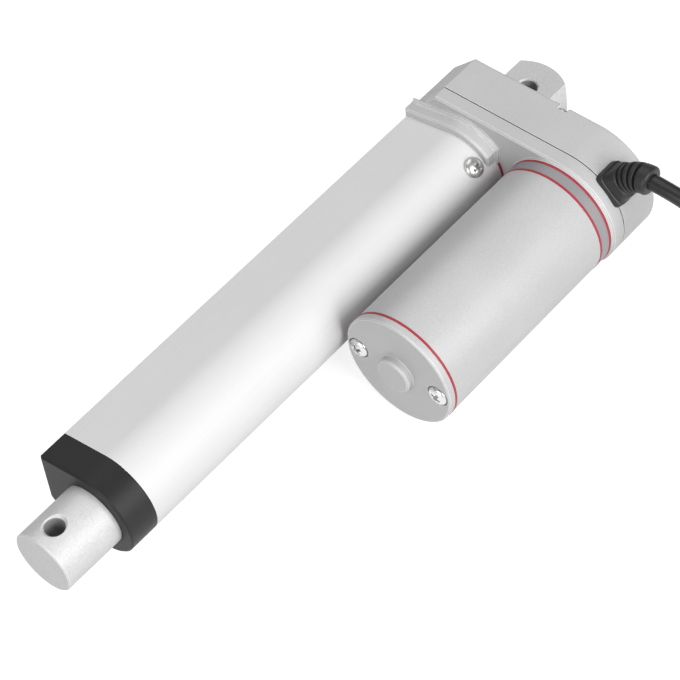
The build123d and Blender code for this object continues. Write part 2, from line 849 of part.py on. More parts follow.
def make_end_switches():
    """Two small switches on the strip, one beyond each end of the nut's travel."""
    long, tall, wide = switch_size
    y = strip_y0() + strip_thick + tall / 2
    low = nut_x0 - moving_gap - 1.0 - long / 2
    high = nut_x1 + stroke + moving_gap + 1.0 + long / 2
    switches = []
    for x, way in ((low, 1), (high, -1)):
        body = Pos(x, y - 0.3, 0) * Box(long, tall - 0.6, wide)
        button = Pos(x + way * (long / 2 + 0.5), y - 1.0, 0) * Box(1.0, 1.6, 1.6)
        switches.append(body + button)
    return Compound(switches)


# Leads inside the housing


def round_path(points):
    """Straight runs joined by the largest arcs that they allow, and the arcs' radii."""
    radii = []
    for before, here, after in zip(points, points[1:], points[2:]):
        first = Vector(*here) - Vector(*before)
        second = Vector(*after) - Vector(*here)
        turn = radians(first.get_angle(second))
        radii.append(0.45 * min(first.length, second.length) / tan(turn / 2))
    return FilletPolyline(*points, radius=radii), radii


def tube_on(points, radius):
    """A round wire along these points."""
    path, radii = round_path(points)
    section = Plane(origin=path @ 0, z_dir=path % 0) * Circle(radius)
    return sweep(section, path=path), path, radii


def make_switch_leads():
    """The two wires from the switch strip, over the gears to the cord's boot."""
    leads = []
    wire = 0.6
    top = housing_half_z - housing_side_wall - wire - 0.6
    lane = fast_x1 - 1.2
    low_lane = slow_x1 - 1.6
    for side in (0, 1):
        x = lane - 1.6 * side
        z = 1.6 - 3.2 * side
        start = strip_y0() + strip_thick + wire + 0.1
        low = low_lane - 1.6 * side
        points = [
            (flange_front_x + 8.0, start, z),
            (flange_front_x - 1.0 - side, start, z),
            (x, start + 1.6, 4.2),
            (x, -8.0, 9.0),
            (x, -4.0, top - 1.0),
            (x, 4.0, top),
            (low + 1.6, 12.0, top - 0.2),
            (low, 17.5, 12.2),
            (low, 26.0, 10.6),
            (low + 1.0, 37.0, 9.4),
            (gland_x - 1.2 * side, 45.2, 9.7),
        ]
        leads.append(tube_on(points, wire)[0])
    return Compound(leads)


# Cord


def make_strain_relief():
    """The moulded rubber boot that the cord leaves by: a square foot, a bend and a ribbed tail."""
    out_y, out_z = gland_direction()
    turn = (gland_angle - 90, 0, 0)

    def at(reach):
        """The place on the boot's radial line at this distance from the motor's axis."""
        return Location((gland_x, motor_y + out_y * reach, out_z * reach), turn)

    seat = housing_half_z
    foot_low = at(seat) * RectangleRounded(gland_length, gland_width, 0.8)
    foot_high = at(seat + 1.8) * RectangleRounded(gland_length, gland_width, 0.8)
    foot = loft([foot_low, foot_high])
    curve = seat * (1 - sqrt(1 - (gland_width / 2 / seat) ** 2))
    sole = at(seat - curve / 2 - 0.1) * Box(gland_length, gland_width, curve + 0.2)
    foot += sole
    middle = Plane(
        origin=(cord_x + 0.5, motor_y + out_y * (seat + 6.0), out_z * (seat + 6.0)),
        x_dir=(1, 0, 0),
        z_dir=(0, cos(radians(gland_angle * 0.5)), sin(radians(gland_angle * 0.5))),
    )
    end = Plane(origin=(cord_x, cord_exit_y - boot_tail, cord_z), x_dir=(1, 0, 0), z_dir=(0, 1, 0))
    waist = middle * RectangleRounded(gland_length, gland_width - 0.6, 3.0)
    body = loft([foot_high, waist])
    body += loft([waist, end * Circle(boot_r)])
    tail = cord_exit_y - boot_tail
    ribs = 3
    pitch = (boot_tail - 2.4) / ribs
    for i in range(ribs):
        y0 = tail + pitch * i
        body += y_disc(y0, pitch * 0.4, boot_r - 1.0)
        body += y_disc(y0 + pitch * 0.4, pitch * 0.6, boot_r - 0.1 * i)
    body += y_disc(tail + pitch * ribs, 2.4, boot_r - 0.1)
    housing = along_x(housing_section(), rear_face_x, flange_front_x)
    boot = (foot + body) - housing
    neck = at(seat - 2.0) * Box(gland_neck - 2 * fit_gap, gland_neck - 2 * fit_gap, 4.6)
    return boot + neck


boot_r = 4.7
boot_tail = 6.6


def y_disc(y0, depth, radius):
    """A disc of the boot's tail, along Y."""
    plane = Plane(origin=(cord_x, y0, cord_z), x_dir=(1, 0, 0), z_dir=(0, 1, 0))
    return extrude(plane * Circle(radius), amount=depth)


cord_r = cord_dia / 2
coil_rows = 3
coil_outer_turn = coil_mid_r + cord_r
coil_x = cord_x + coil_outer_turn
coil_stub = 17.5
cord_top_z = floor_z + (coil_rows - 0.5) * cord_dia
cord_level_y = 110.7
coil_y = cord_level_y + 15.2 + coil_stub
cord_points = [
    (cord_x, cord_exit_y, cord_z),
    (cord_x, 76.2, cord_z),
    (cord_x, 89.4, 13.1),
    (cord_x, 97.4, 0.0),
    (cord_x, cord_level_y, cord_top_z),
    (cord_x, coil_y - coil_stub, cord_top_z),
]


def make_cord_tube():
    """The round black cord from the boot down to the coil that lies on the floor."""
    solid, path, radii = tube_on(cord_points, cord_r)
    print("cord radii", [round(r, 1) for r in radii], "length", round(path.length, 1))
    section = pi * cord_r**2 * path.length
    print("cord volume against section times length", round(solid.volume / section, 4))
    return solid


def make_cord_coil():
    """The rest of the cord, wound in a neat coil on the floor."""
    outer = coil_outer_turn + cord_r + coil_ease
    inner = outer - 2 * cord_dia
    height = coil_rows * cord_dia + coil_ease
    coil = Pos(coil_x, coil_y, floor_z + height / 2) * (Cylinder(outer, height) - Cylinder(inner, height))
    plane = Plane(origin=(cord_x, coil_y - coil_stub, cord_top_z), x_dir=(1, 0, 0), z_dir=(0, 1, 0))
    return coil + extrude(plane * Circle(cord_r), amount=coil_stub)


def make_cord_cores():
    """The two stripped cores at the cord's far end, lying on the coil's top."""
    z = floor_z + coil_rows * cord_dia + coil_ease + core_r
    cores = []
    for side in (-1, 1):
        x = coil_x + coil_mid_r + side * 1.6
        plane = Plane(origin=(x, coil_y - 12.0, z), x_dir=(1, 0, 0), z_dir=(0, 1, 0))
        cores.append(extrude(plane * Circle(core_r), amount=24.0))
    return Compound(cores)


core_r = 0.9

rear_bush_x = (bell_x0, bell_x1 + 2.0)
front_bush_x = (can_x1 - 1.0, motor_front_x + nose_height - 1.2)
bearing_bore = journal_dia / 2

pieces = {
    "front_housing": make_front_housing,
    "rear_cover": make_rear_cover,
    "housing_seal": make_housing_seal,
    "housing_screws": make_housing_screws,
    "outer_tube": make_outer_tube,
    "tube_seal": make_tube_seal,
    "tube_screws": make_tube_screws,
    "front_cap": make_front_cap,
    "rod_wiper": make_rod_wiper,
    "guide_bush": make_guide_bush,
    "rear_eye": make_rear_eye,
    "rear_bush": make_rear_bush,
    "bearing_outer_ring": lambda: make_bearing_ring(bearing_od / 2, race_r_out, race_r_out - 0.4),
    "bearing_clip": make_bearing_clip,
    "idler_pin": make_idler_pin,
    "motor_can": make_motor_can,
    "motor_end_cap": make_motor_end_cap,
    "motor_front_seal": lambda: make_motor_seal(can_x1),
    "motor_bell": make_motor_bell,
    "motor_rear_seal": lambda: make_motor_seal(bell_x1),
    "motor_mount_seal": lambda: make_motor_seal(motor_boss_x),
    "motor_magnets": make_motor_magnets,
    "motor_front_bush": lambda: make_motor_bush(*front_bush_x),
    "motor_rear_bush": lambda: make_motor_bush(*rear_bush_x),
    "brush_holder": make_brush_holder,
    "carbon_brushes": make_carbon_brushes,
    "motor_tie_screws": make_motor_tie_screws,
    "switch_strip": make_switch_strip,
    "end_switches": make_end_switches,
    "switch_leads": make_switch_leads,
    "strain_relief": make_strain_relief,
    "cord_tube": make_cord_tube,
    "cord_coil": make_cord_coil,
    "cord_cores": make_cord_cores,
    "lead_screw": make_lead_screw,
    "main_gear": make_main_gear,
    "screw_spacer": make_screw_spacer,
    "bearing_inner_ring": lambda: make_bearing_ring(race_r_in + 0.4, race_r_in, bearing_bore),
    "bearing_balls": make_bearing_balls,
    "bearing_cage": make_bearing_cage,
    "idler_wheel": make_idler_wheel,
    "idler_pinion": make_idler_pinion,
    "motor_pinion": make_motor_pinion,
    "motor_shaft": make_motor_shaft,
    "armature_core": make_armature_core,
    "armature_windings": make_armature_windings,
    "commutator": make_commutator,
    "rod_tube": make_rod_tube,
    "front_eye": make_front_eye,
    "drive_nut": make_drive_nut,
}

os.makedirs("parts", exist_ok=True)
for name, make in pieces.items():
    export_step(make(), f"parts/{name}.step")
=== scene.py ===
import math

import bmesh
import bpy
from mathutils import Matrix, Vector


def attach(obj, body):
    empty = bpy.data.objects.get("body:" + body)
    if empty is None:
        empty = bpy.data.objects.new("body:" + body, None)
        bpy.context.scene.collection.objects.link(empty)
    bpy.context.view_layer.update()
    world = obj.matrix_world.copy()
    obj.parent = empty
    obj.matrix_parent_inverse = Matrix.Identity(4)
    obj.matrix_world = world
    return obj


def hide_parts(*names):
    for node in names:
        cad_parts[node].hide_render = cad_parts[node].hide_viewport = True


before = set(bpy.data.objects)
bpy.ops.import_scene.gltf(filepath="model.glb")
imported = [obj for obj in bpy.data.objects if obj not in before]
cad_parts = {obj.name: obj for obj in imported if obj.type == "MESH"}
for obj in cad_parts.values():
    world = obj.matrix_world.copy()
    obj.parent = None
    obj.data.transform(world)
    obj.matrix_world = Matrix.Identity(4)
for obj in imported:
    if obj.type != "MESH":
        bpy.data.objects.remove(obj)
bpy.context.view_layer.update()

# Camera
# It looks down on the actuator from in front of the rod's eye and beyond the motor, through a
# long lens, as the photograph does.
view = bpy.data.cameras.new("view")
view.sensor_width = 36.0
view.lens = 141.35
view.clip_end = 100.0
camera = bpy.data.objects.new("view", view)
camera.matrix_world = Matrix(
    (
        (-0.64639, -0.62626, 0.43586, 0.4354),
        (0.75832, -0.46410, 0.45778, 0.3613),
        (-0.08441, 0.62642, 0.77490, 0.5870),
        (0.0, 0.0, 0.0, 1.0),
    )
)
bpy.context.scene.collection.objects.link(camera)
bpy.context.scene.camera = camera
bpy.context.scene.view_settings.view_transform = "Standard"


# Cord
# Round black cord with a smooth glossy sheath, moulded into the boot. It falls away beside the
# motor, and the rest of its length lies on the table in a coil two turns wide and three high.
def surface(
    name,
    colour,
    roughness,
    metallic=0.0,
    grain=2500.0,
    depth=0.00002,
    spread=0.06,
    stretch=(1, 1, 1),
    edge_highlight=0.0,
    shine=0.5,
):
    """A surface whose colour and gloss vary, with a fine grain, softened edges and a painted
    highlight along its edges.
    """
    patch_scale = 45.0
    patch_share = 0.4
    gloss_swing = 0.06
    edge_radius = 0.0003
    highlight_colour = (0.92, 0.92, 0.92, 1.0)
    material = bpy.data.materials.new(name)
    material.use_nodes = True
    nodes = material.node_tree.nodes
    links = material.node_tree.links
    shader = nodes["Principled BSDF"]
    shader.inputs["Metallic"].default_value = metallic
    shader.inputs["Specular IOR Level"].default_value = shine
    place = nodes.new("ShaderNodeTexCoord")
    mapping = nodes.new("ShaderNodeMapping")
    mapping.inputs["Scale"].default_value = stretch
    links.new(place.outputs["Object"], mapping.inputs["Vector"])
    broad = nodes.new("ShaderNodeTexNoise")
    broad.inputs["Scale"].default_value = patch_scale
    broad.inputs["Detail"].default_value = 4.0
    links.new(place.outputs["Object"], broad.inputs["Vector"])
    fine = nodes.new("ShaderNodeTexNoise")
    fine.inputs["Scale"].default_value = grain
    fine.inputs["Detail"].default_value = 3.0
    links.new(mapping.outputs["Vector"], fine.inputs["Vector"])
    both = nodes.new("ShaderNodeMath")
    both.operation = "MULTIPLY_ADD"
    both.inputs[1].default_value = patch_share
    links.new(broad.outputs["Fac"], both.inputs[0])
    finer = nodes.new("ShaderNodeMath")
    finer.operation = "MULTIPLY"
    finer.inputs[1].default_value = 1 - patch_share
    links.new(fine.outputs["Fac"], finer.inputs[0])
    links.new(finer.outputs[0], both.inputs[2])
    tint = nodes.new("ShaderNodeValToRGB")
    tint.color_ramp.elements[0].position = 0.32
    tint.color_ramp.elements[1].position = 0.68
    tint.color_ramp.elements[0].color = [c * (1 - spread) for c in colour] + [1.0]
    tint.color_ramp.elements[1].color = [min(c * (1 + spread), 1.0) for c in colour] + [1.0]
    links.new(both.outputs[0], tint.inputs["Fac"])
    soft = nodes.new("ShaderNodeBevel")
    soft.samples = 6
    soft.inputs["Radius"].default_value = edge_radius
    # Painted highlight: where the bevelled normal turns away from the true one, at the edges, the
    # colour is mixed towards near-white.
    if edge_highlight:
        flat = nodes.new("ShaderNodeNewGeometry")
        meet = nodes.new("ShaderNodeVectorMath")
        meet.operation = "DOT_PRODUCT"
        links.new(soft.outputs["Normal"], meet.inputs[0])
        links.new(flat.outputs["Normal"], meet.inputs[1])
        rim = nodes.new("ShaderNodeMapRange")
        rim.inputs["From Min"].default_value = 0.999
        rim.inputs["From Max"].default_value = 0.93
        rim.inputs["To Max"].default_value = edge_highlight
        links.new(meet.outputs["Value"], rim.inputs["Value"])
        highlighted_edge = nodes.new("ShaderNodeMix")
        highlighted_edge.data_type = "RGBA"
        highlighted_edge.inputs["B"].default_value = highlight_colour
        links.new(rim.outputs["Result"], highlighted_edge.inputs["Factor"])
        links.new(tint.outputs["Color"], highlighted_edge.inputs["A"])
        links.new(highlighted_edge.outputs["Result"], shader.inputs["Base Color"])
    else:
        links.new(tint.outputs["Color"], shader.inputs["Base Color"])
    gloss = nodes.new("ShaderNodeMapRange")
    gloss.inputs["From Min"].default_value = 0.3
    gloss.inputs["From Max"].default_value = 0.7
    gloss.inputs["To Min"].default_value = max(roughness - gloss_swing, 0.02)
    gloss.inputs["To Max"].default_value = min(roughness + gloss_swing, 1.0)
    links.new(both.outputs[0], gloss.inputs["Value"])
    links.new(gloss.outputs["Result"], shader.inputs["Roughness"])
    bump = nodes.new("ShaderNodeBump")
    bump.inputs["Strength"].default_value = 0.6
    bump.inputs["Distance"].default_value = depth
    links.new(fine.outputs["Fac"], bump.inputs["Height"])
    links.new(soft.outputs["Normal"], bump.inputs["Normal"])
    links.new(bump.outputs["Normal"], shader.inputs["Normal"])
    return material


cord_route = [
    (0.0200, 0.0610, 0.0208),
    (0.0200, 0.0762, 0.0208),
    (0.0200, 0.0894, 0.0131),
    (0.0200, 0.0974, 0.0000),
    (0.0200, 0.1107, -0.0070),
    (0.0200, 0.1360, -0.0070),
]
coil_x = 0.0475
coil_y = 0.1434
outer_turn = 0.0285
inner_turn = 0.0234
last_turn = 0.0260
last_level = -0.0020
levels = (-0.0070, -0.0120, -0.0170)
turns = [(outer_turn, level) for level in levels]
turns += [(inner_turn, level) for level in reversed(levels)]
turns.append((last_turn, last_level))
coil_start = 165
for (radius, level), (next_radius, next_level) in zip(turns, turns[1:]):
    for step in range(12):
        part = max(0.0, (step - 8) / 4)
        r = radius + (next_radius - radius) * part
        z = level + (next_level - level) * part
        angle = math.radians(coil_start - 30 * step)
        cord_route.append((coil_x + r * math.cos(angle), coil_y + r * math.sin(angle), z))
for step in range(6):
    angle = math.radians(coil_start - 28 * step)
    x = coil_x + last_turn * math.cos(angle)
    y = coil_y + last_turn * math.sin(angle)
    cord_route.append((x, y, last_level))
line = bpy.data.curves.new("cord", "CURVE")
line.dimensions = "3D"
line.bevel_depth = 0.0025
line.bevel_resolution = 8
line.resolution_u = 10
line.use_fill_caps = True
run = line.splines.new("NURBS")
run.points.add(len(cord_route) - 1)
for point, spot in zip(run.points, cord_route):
    point.co = (*spot, 1.0)
run.order_u = 3
run.use_endpoint_u = True
cord = bpy.data.objects.new("cord", line)
bpy.context.scene.collection.objects.link(cord)
sheath = surface("cord_sheath", (0.010, 0.010, 0.011), 0.34, grain=900.0, depth=0.00001)
line.materials.append(sheath)
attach(cord, "housing")
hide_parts("cord_tube", "cord_coil")


# Boot
# Moulded black rubber: a square foot clamped between the halves, a bend, three ribs that let it
# flex, and a round end that the cord leaves by.
def loft(rings):
    """A closed body: an end face on the first ring, drawn out through all the others."""
    body = bmesh.new()
    corners = [body.verts.new(spot) for spot in rings[0]]
    end = body.faces.new(corners)
    passed = []
    for ring in rings[1:]:
        drawn = bmesh.ops.extrude_face_region(body, geom=[end])["geom"]
        end = next(part for part in drawn if isinstance(part, bmesh.types.BMFace))
        passed.append(end)
        fresh = {tuple(corner.co): corner for corner in end.verts}
        corners = [fresh[tuple(corner.co)] for corner in corners]
        for corner, spot in zip(corners, ring):
            corner.co = spot
    bmesh.ops.delete(body, geom=passed[:-1], context="FACES_ONLY")
    bmesh.ops.recalc_face_normals(body, faces=body.faces)
    for face in body.faces:
        face.smooth = True
    return body


start = Vector((0.0212, 0.0488, 0.0129))
pull = Vector((0.0210, 0.0538, 0.0178))
lean = Vector((0.0200, 0.0545, 0.0208))
stop = Vector((0.0200, 0.0610, 0.0208))
across = Vector((1.0, 0.0, 0.0))
boot_half_x = 0.0045
boot_half_side = 0.0053
boot_taper = 0.0008
square_end = 0.42
brim_end = 0.12
brim = 0.0004
grooves = (0.40, 0.53, 0.66, 0.79)
groove_half = 0.028
groove_depth = 0.0012
round_start = 0.95
round_depth = 0.0009
boot_steps = 96
boot_corners = 48
rings = []
for step in range(boot_steps + 1):
    u = step / boot_steps
    v = 1 - u
    centre = start * v**3 + pull * (3 * v * v * u) + lean * (3 * v * u * u) + stop * u**3
    along = (pull - start) * (3 * v * v) + (lean - pull) * (6 * v * u) + (stop - lean) * (3 * u * u)
    side = along.normalized().cross(across).normalized()
    power = 2 + 5 * max(0.0, 1 - u / square_end)
    half_x = boot_half_x
    half_side = boot_half_side - boot_taper * min(u / square_end, 1.0)
    if u < brim_end:
        half_x += brim
        half_side += brim
    for middle in grooves:
        gap = abs(u - middle)
        if gap < groove_half:
            dip = groove_depth * math.sqrt(1 - (gap / groove_half) ** 2)
            half_x -= dip
            half_side -= dip
    if u > round_start:
        past = (u - round_start) / (1 - round_start)
        ease = round_depth * (1 - math.sqrt(max(0.0, 1 - past**2)))
        half_x -= ease
        half_side -= ease
    ring = []
    for corner in range(boot_corners):
        angle = math.tau * corner / boot_corners
        c = math.cos(angle)
        s = math.sin(angle)
        reach = (abs(c) ** power + abs(s) ** power) ** (-1 / power)
        ring.append(centre + across * (half_x * reach * c) + side * (half_side * reach * s))
    rings.append(ring)
boot = loft(rings)
boot_mesh = bpy.data.meshes.new("boot")
boot.to_mesh(boot_mesh)
boot.free()
boot_mesh.set_sharp_from_angle(angle=math.radians(50))
moulded = surface(
    "boot_rubber", (0.014, 0.014, 0.015), 0.48, grain=2400.0, depth=0.00003, spread=0.15
)
boot_mesh.materials.append(moulded)
boot_piece = bpy.data.objects.new("boot", boot_mesh)
bpy.context.scene.collection.objects.link(boot_piece)
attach(boot_piece, "housing")
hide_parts("strain_relief")

# Gear housing
# Two aluminium die castings, a deep rear cover and a front half with the collar and the motor's
# seat, screwed together and sprayed with fine-grained silver paint; the edges get a painted
# highlight.
def dress(material, *nodes):
    """Give these nodes of the frame their finished surface."""
    for node in nodes:
        for slot in bpy.data.objects[node].material_slots:
            slot.material = material


silver = surface(
    "silver_paint",
    (0.50, 0.50, 0.505),
    0.48,
    metallic=0.15,
    grain=1900.0,
    depth=0.00008,
    spread=0.07,
    edge_highlight=0.8,
    shine=0.2,
)
dress(silver, "front_housing", "rear_cover")

# Housing gasket
# Black rubber sheet cut to the outline of the halves. It stands a little inside their edge, so
# only a thin dark line shows between them.
sheet = surface(
    "black_sheet", (0.018, 0.018, 0.019), 0.55, grain=2200.0, depth=0.00003, spread=0.15
)
dress(sheet, "housing_seal")

# Cover screws
# Cold-formed steel pan heads with a cross recess in the dome, nickel plated. Five of them are
# let into the rear face and hold the cover to the front half.
nickel = surface(
    "nickel", (0.68, 0.68, 0.67), 0.30, metallic=1.0, grain=2600.0, depth=0.000015, spread=0.05
)


def cross_screw(radius, height, shank_length):
    """A screw along Z with its head's underside at zero and a cross recess in the dome."""
    shank = 0.0015
    ease = 0.0001
    rim = 0.30
    profile = [(0.0, -shank_length), (shank, -shank_length), (shank, -ease)]
    profile += [(radius - ease, -ease), (radius, 0.0), (radius, height * rim)]
    for step in range(1, 10):
        angle = math.radians(10 * step)
        profile.append((radius * math.cos(angle), height * (rim + (1 - rim) * math.sin(angle))))
    turned = bmesh.new()
    outline = [turned.verts.new((x, 0.0, z)) for x, z in profile]
    edges = [turned.edges.new(pair) for pair in zip(outline, outline[1:])]
    bmesh.ops.spin(
        turned,
        geom=outline + edges,
        cent=(0, 0, 0),
        axis=(0, 0, 1),
        angle=math.tau,
        steps=48,
        use_merge=True,
    )
    bmesh.ops.remove_doubles(turned, verts=turned.verts, dist=1e-7)
    bmesh.ops.recalc_face_normals(turned, faces=turned.faces)
    body = bpy.data.meshes.new("screw_body")
    turned.to_mesh(body)
    turned.free()
    floor = (height * 0.05, radius * 0.24, radius * 0.10)
    mouth = (height * 1.25, radius * 0.66, radius * 0.17)
    crosses = []
    for level, arm, half in (floor, mouth):
        corners = []
        for quarter in range(4):
            turn = Matrix.Rotation(math.radians(90 * quarter), 2)
            for x, y in ((arm, -half), (arm, half), (half, half)):
                spot = turn @ Vector((x, y))
                corners.append((spot.x, spot.y, level))
        crosses.append(corners)
    recess = loft(crosses)
    cross = bpy.data.meshes.new("screw_cross")
    recess.to_mesh(cross)
    recess.free()
    whole = bpy.data.objects.new("screw_whole", body)
    tool = bpy.data.objects.new("screw_tool", cross)
    for thing in (whole, tool):
        bpy.context.scene.collection.objects.link(thing)
    cut = whole.modifiers.new("recess", "BOOLEAN")
    cut.operation = "DIFFERENCE"
    cut.object = tool
    cut.solver = "EXACT"
    bpy.context.view_layer.update()
    ready = whole.evaluated_get(bpy.context.evaluated_depsgraph_get())
    result = bpy.data.meshes.new_from_object(ready)
    bpy.data.objects.remove(whole)
    bpy.data.objects.remove(tool)
    return result


def place_screws(name, node, screw, places):
    """Copies of one screw, each at its spot and turned to its direction, as one piece."""
    form = bmesh.new()
    for spot, direction, twist in places:
        turn = Vector(direction).to_track_quat("Z", "X").to_matrix().to_4x4()
        held = len(form.verts)
        form.from_mesh(screw)
        form.verts.ensure_lookup_table()
        twisted = turn @ Matrix.Rotation(math.radians(twist), 4, "Z")
        move = Matrix.Translation(Vector(spot)) @ twisted
        bmesh.ops.transform(form, matrix=move, verts=form.verts[held:])
    for face in form.faces:
        face.smooth = True
    mesh = bpy.data.meshes.new(name)
    form.to_mesh(mesh)
    form.free()
    mesh.materials.append(nickel)
    mesh.set_sharp_from_angle(angle=math.radians(35))
    piece = bpy.data.objects.new(name, mesh)
    bpy.context.scene.collection.objects.link(piece)
    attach(piece, "housing")
    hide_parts(node)


cover_seat = 0.0118
cover_spots = [
    (-0.0132, 0.0127),
    (-0.0132, -0.0127),
    (0.0225, 0.0164),
    (0.0225, -0.0164),
    (0.04787, -0.0108),
]
place_screws(
    "cover_cross_screws",
    "housing_screws",
    cross_screw(0.0030, 0.0019, 0.0150),
    [
        ((cover_seat, y, z), (-1, 0, 0), 25 + 40 * number)
        for number, (y, z) in enumerate(cover_spots)
    ],
)

# Outer tube
# Extruded aluminium, etched and clear anodised to a pale satin. The extrusion left very fine
# lines along it.
# The tube's edges get a painted highlight.
satin = surface(
    "satin_aluminium",
    (0.65, 0.65, 0.655),
    0.65,
    metallic=0.1,
    grain=2600.0,
    spread=0.025,
    stretch=(0.01, 1, 1),
    edge_highlight=0.5,
    shine=0.2,
)
dress(satin, "outer_tube")

# Tube gasket
# Red rubber cut to the tube's end. It is squeezed between the tube and the housing, and shows
# only beside the motor.
red = surface("red_rubber", (0.36, 0.028, 0.045), 0.5, grain=2200.0, spread=0.12)
dress(red, "tube_seal")

# Tube screws
# The same cross-recess pan heads, standing proud of the tube's round side. They go through the
# tube into the housing's neck.
slant = math.sqrt(0.5)
tube_seat = 0.01415
tube_screw_x = 0.0382
place_screws(
    "tube_cross_screws",
    "tube_screws",
    cross_screw(0.0031, 0.0020, 0.0042),
    [
        ((tube_screw_x, tube_seat * slant, tube_seat * slant), (0, slant, slant), 20),
        ((tube_screw_x, tube_seat * slant, -tube_seat * slant), (0, slant, -slant), 50),
    ],
)

# Front cap
# Black moulded plastic with a fine eroded texture. It plugs the tube's end and holds the bush
# and the wiper that the rod slides in.
eroded = surface(
    "cap_plastic", (0.013, 0.013, 0.014), 0.50, grain=2600.0, depth=0.00005, spread=0.15, shine=0.3
)
dress(eroded, "front_cap")
lip = surface("wiper_rubber", (0.016, 0.016, 0.017), 0.50, grain=2200.0, depth=0.00003, spread=0.15)
dress(lip, "rod_wiper")
natural = surface("natural_plastic", (0.76, 0.74, 0.66), 0.45, grain=2000.0)
dress(natural, "guide_bush")

# Rod end and rear eye
# Turned from solid aluminium and bead blasted, so they are matt and grainy. Their cross holes have
# a painted shade inside, which stops short of the bright countersink at each mouth.
# The edges of both eyes get a painted highlight.
blasted = surface(
    "blasted_aluminium",
    (0.57, 0.57, 0.575),
    0.55,
    metallic=0.2,
    grain=1700.0,
    depth=0.00010,
    spread=0.11,
    edge_highlight=0.7,
    shine=0.2,
)
# Painted shade: the wall of each cross hole, within about 3 mm of its axis, is coloured dark.
bore_shade_colour = (0.30, 0.295, 0.295, 1.0)
bore_from = 0.00302
bore_to = 0.00312
front_hole_x = 0.205
tree = blasted.node_tree
painted = tree.nodes["Principled BSDF"].inputs["Base Color"]
plain_colour = painted.links[0].from_socket
where = tree.nodes.new("ShaderNodeTexCoord")
near = None
for hole_x in (0.0, front_hole_x):
    offset = tree.nodes.new("ShaderNodeVectorMath")
    offset.operation = "MULTIPLY_ADD"
    offset.inputs[1].default_value = (1.0, 1.0, 0.0)
    offset.inputs[2].default_value = (-hole_x, 0.0, 0.0)
    tree.links.new(where.outputs["Object"], offset.inputs[0])
    length = tree.nodes.new("ShaderNodeVectorMath")
    length.operation = "LENGTH"
    tree.links.new(offset.outputs["Vector"], length.inputs[0])
    if near is None:
        near = length.outputs["Value"]
    else:
        closer = tree.nodes.new("ShaderNodeMath")
        closer.operation = "MINIMUM"
        tree.links.new(near, closer.inputs[0])
        tree.links.new(length.outputs["Value"], closer.inputs[1])
        near = closer.outputs[0]
bore_shade_mask = tree.nodes.new("ShaderNodeMapRange")
bore_shade_mask.inputs["From Min"].default_value = bore_to
bore_shade_mask.inputs["From Max"].default_value = bore_from
tree.links.new(near, bore_shade_mask.inputs["Value"])
bore_shade_mix = tree.nodes.new("ShaderNodeMix")
bore_shade_mix.data_type = "RGBA"
bore_shade_mix.inputs["B"].default_value = bore_shade_colour
tree.links.new(bore_shade_mask.outputs["Result"], bore_shade_mix.inputs["Factor"])
tree.links.new(plain_colour, bore_shade_mix.inputs["A"])
tree.links.new(bore_shade_mix.outputs["Result"], painted)
dress(blasted, "front_eye", "rear_eye")

# Rod
# A ground and polished steel tube, seen only when the actuator is extended. It carries the eye
# in front and the nut behind.
steel = surface(
    "ground_steel",
    (0.66, 0.66, 0.655),
    0.22,
    metallic=1.0,
    grain=3000.0,
    spread=0.03,
    stretch=(0.2, 1, 1),
)
dress(steel, "rod_tube")

# Screw
# Bright steel, with a tail for the rear bush, a ground journal for gear and bearing, and a rolled
# two-start trapezoidal thread of 4 mm lead along the rest.
tail_x = 0.0086
journal_x = 0.0154
thread_x = 0.0350
screw_end_x = 0.1665
tail_r = 0.0030
tail_ease = 0.0004
journal_r = 0.0040
crest_r = 0.0050
thread_depth = 0.0010
end_ease = 0.0008
lead = 0.004
pitch = lead / 2
half_crest = 0.18
flank = 0.14
row_step = 0.00025
spokes = 32
rows = [
    (tail_x, tail_r - tail_ease),
    (tail_x + tail_ease, tail_r),
    (journal_x, tail_r),
    (journal_x, journal_r),
    (thread_x, journal_r),
]
thread_rows = round((screw_end_x - thread_x) / row_step)
for row in range(thread_rows + 1):
    rows.append((thread_x + (screw_end_x - thread_x) * row / thread_rows, None))
rings = []
for x, radius in rows:
    ring = []
    for spoke in range(spokes):
        r = radius
        if r is None:
            phase = ((x - lead * spoke / spokes) / pitch) % 1.0
            fall = min(max((abs(phase - 0.5) - half_crest) / flank, 0.0), 1.0)
            r = min(crest_r - thread_depth * fall, crest_r - end_ease + (screw_end_x - x))
        angle = math.tau * spoke / spokes
        ring.append((x, r * math.cos(angle), r * math.sin(angle)))
    rings.append(ring)
thread = loft(rings)
thread_mesh = bpy.data.meshes.new("threaded_screw")
thread.to_mesh(thread_mesh)
thread.free()
thread_mesh.set_sharp_from_angle(angle=math.radians(30))
thread_mesh.materials.append(steel)
threaded = bpy.data.objects.new("threaded_screw", thread_mesh)
bpy.context.scene.collection.objects.link(threaded)
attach(threaded, "screw")
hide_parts("lead_screw")

# Nut and gears
# Moulded in natural acetal: the nut that the screw drives, the wheel on the screw and the wheel
# of the middle pair. The small pinion of that pair is sintered steel and turns on a ground pin.
dress(natural, "drive_nut", "main_gear", "idler_wheel")
dark = surface("sintered_steel", (0.25, 0.25, 0.26), 0.4, metallic=0.9, grain=2500.0)
dress(dark, "idler_pinion", "screw_spacer")
dress(steel, "idler_pin")

# Screw bearing and rear bush
# A deep-groove ball bearing with ground rings, bright balls and a brass cage, held by a black
# spring clip. The screw's tail runs in a brass bush in the rear eye.
dress(steel, "bearing_outer_ring", "bearing_inner_ring", "bearing_balls")
dress(surface("spring_clip", (0.12, 0.12, 0.125), 0.38, metallic=0.8), "bearing_clip")
brass = surface("brass", (0.72, 0.52, 0.22), 0.3, metallic=1.0)
dress(brass, "bearing_cage", "rear_bush")

# Motor case
# A drawn steel can and a die-cast end cap with a round nose, in the same silver paint as the
# housing.
dress(silver, "motor_can", "motor_end_cap")

